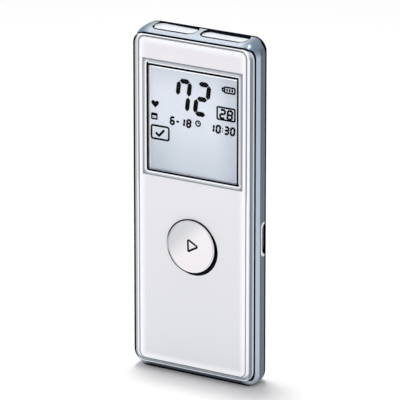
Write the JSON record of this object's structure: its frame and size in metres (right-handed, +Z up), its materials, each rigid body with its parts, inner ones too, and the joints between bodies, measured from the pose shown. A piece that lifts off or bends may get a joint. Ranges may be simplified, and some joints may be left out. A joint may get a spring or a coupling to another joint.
{
  "type": "pocket ecg recorder",
  "caption": "Slim pocket ECG recorder with a display, one start button, metal electrodes in both ends and a charging socket in its side.",
  "frame": {"origin": "bottom centre of the bounding box, on the flat base that the recorder stands on", "axes": "+X to the right seen from the front, towards the charging socket; +Y away from the viewer, out of the back; +Z up, towards the two upper electrodes"},
  "size_m": [0.0394, 0.0106, 0.0982],
  "materials": {
    "cover_white": "glossy, white",
    "panel_pale": "satin, pale grey",
    "bezel_grey": "fine matte, light grey",
    "clear_window": "clear, polished",
    "polariser": "clear film, slightly grey",
    "ivory_plastic": "matte, moulded",
    "dark_rubber": "fine stripes, matte",
    "button_white": "satin, white",
    "black_plastic": "matte, moulded",
    "sheet_steel": "tinned sheet, satin",
    "gold_contact": "gold plated",
    "frame_silver": "silver, satin",
    "electrode_steel": "finely brushed, bright",
    "board_green": "solder mask with pads",
    "chip_black": "matte, moulded",
    "ceramic": "fired, matte",
    "cell_foil": "foil pouch, satin",
    "amber_film": "amber film tape",
    "foam_tape": "foam, matte",
    "red_wire": "silicone insulation",
    "black_wire": "silicone insulation",
    "back_white": "satin, white",
    "screw_steel": "dark zinc, satin"
  },
  "bodies": {
    "case": {"front_cover": "cover_white", "front_panel": "panel_pale", "display_bezel": "bezel_grey", "display_window": "clear_window", "front_polariser": "polariser", "lcd_front_glass": "clear_window", "lcd_rear_glass": "clear_window", "rear_polariser": "polariser", "lcd_carrier": "ivory_plastic", "elastomer_strip": "dark_rubber", "switch_cover": "sheet_steel", "switch_dome": "gold_contact", "switch_base": "black_plastic", "mid_frame": "frame_silver", "upper_electrode_left": "electrode_steel", "upper_electrode_right": "electrode_steel", "lower_electrode": "electrode_steel", "contact_spring_left": "gold_contact", "contact_spring_right": "gold_contact", "contact_spring_lower": "gold_contact", "main_board": "board_green", "microcontroller": "chip_black", "ecg_amplifier": "chip_black", "shield_can": "sheet_steel", "memory_chip": "chip_black", "charger_chip": "chip_black", "crystal": "sheet_steel", "radio_module": "sheet_steel", "chip_antenna": "ceramic", "passives": "ceramic", "usb_shell": "sheet_steel", "usb_tongue": "black_plastic", "usb_contacts": "gold_contact", "battery_cell": "cell_foil", "battery_board": "amber_film", "battery_tape": "foam_tape", "battery_lead_red": "red_wire", "battery_lead_black": "black_wire", "battery_plug": "ivory_plastic", "battery_socket": "ivory_plastic", "back_cover": "back_white", "case_screws": "screw_steel"},
    "start_button": {"start_button": "button_white", "switch_plunger": "black_plastic"}
  },
  "joints": [
    {"name": "start_button_press", "type": "slide", "parent": "case", "child": "start_button", "axis": [0, 1, 0], "range_m": [0, 0.0003], "stiffness_N_per_m": 1500, "springref_m": -0.001}
  ]
}
